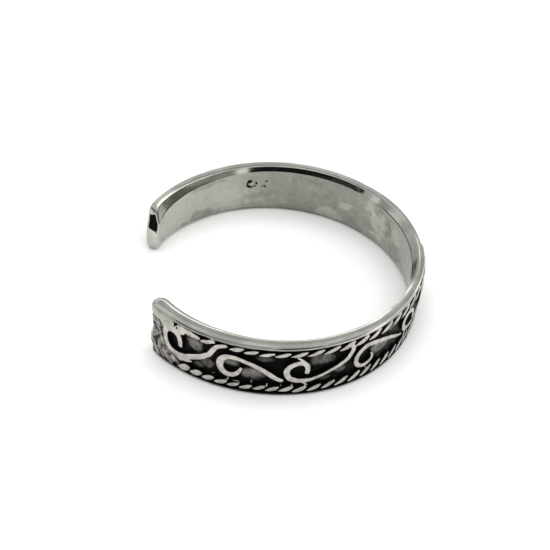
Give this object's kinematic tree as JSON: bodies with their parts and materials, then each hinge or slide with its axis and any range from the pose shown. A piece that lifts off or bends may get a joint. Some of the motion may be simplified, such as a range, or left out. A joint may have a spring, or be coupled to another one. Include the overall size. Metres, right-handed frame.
{
  "type": "toe ring",
  "caption": "Open, adjustable silver toe ring: a plain polished shank and a darkened front band with scrolls between rope borders, lying on its side.",
  "frame": {"origin": "on the ring's axis, at half the band's width at its ornamented tip", "axes": "+Z along the ring's axis, away from the flat lower rim it lies on; the opening between the two tips faces -X, with the ornamented tip on its -Y side"},
  "size_m": [0.016, 0.017, 0.0036],
  "materials": {
    "oxidised_silver": "sterling silver, polished on the shank and the raised relief, darkened in the sunk ground"
  },
  "bodies": {
    "root": {"toe_ring": "oxidised_silver"}
  },
  "joints": []
}
